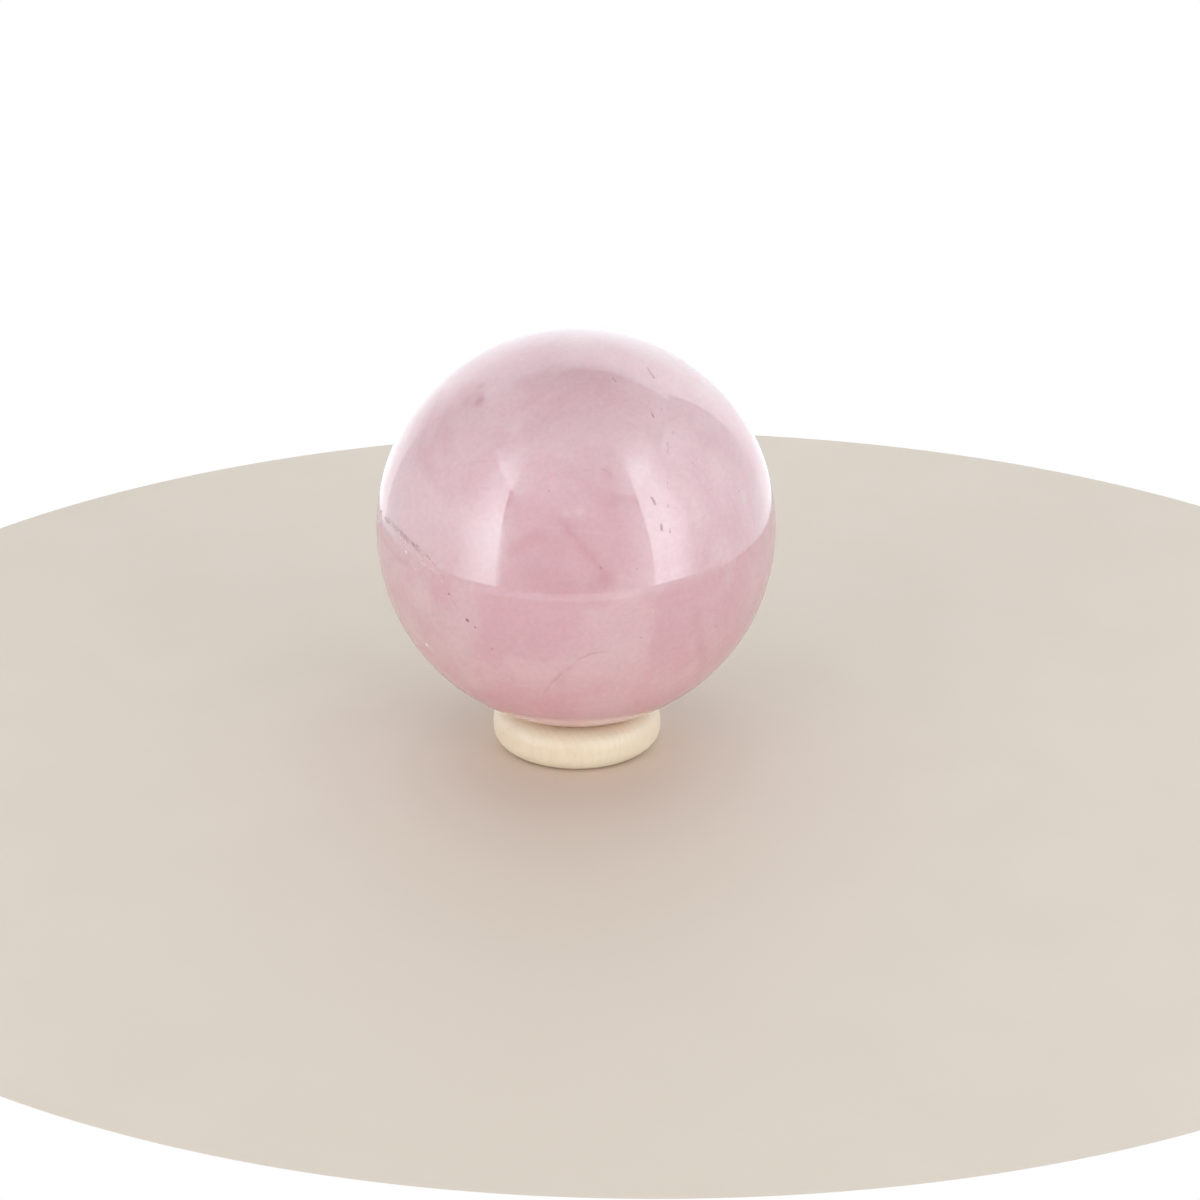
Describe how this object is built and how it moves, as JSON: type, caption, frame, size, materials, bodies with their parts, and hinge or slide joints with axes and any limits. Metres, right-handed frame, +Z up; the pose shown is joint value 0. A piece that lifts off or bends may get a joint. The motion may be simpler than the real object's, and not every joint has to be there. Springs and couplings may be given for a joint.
{
  "type": "rose quartz sphere",
  "caption": "Polished milky-pink quartz sphere that rests loose on a small turned wooden ring, which keeps it from rolling on a desk or shelf.",
  "frame": {"origin": "centre of the wooden ring's underside, on the surface that the part stands on", "axes": "+Z up, along the common axis of the ring and the sphere; X and Y are free, because both solids are round about Z"},
  "size_m": [0.06, 0.06, 0.0651],
  "materials": {
    "rose_quartz": "polished",
    "pale_hardwood": "sanded smooth, unvarnished"
  },
  "bodies": {
    "root": {"quartz_sphere": "rose_quartz", "wooden_ring": "pale_hardwood"}
  },
  "joints": []
}
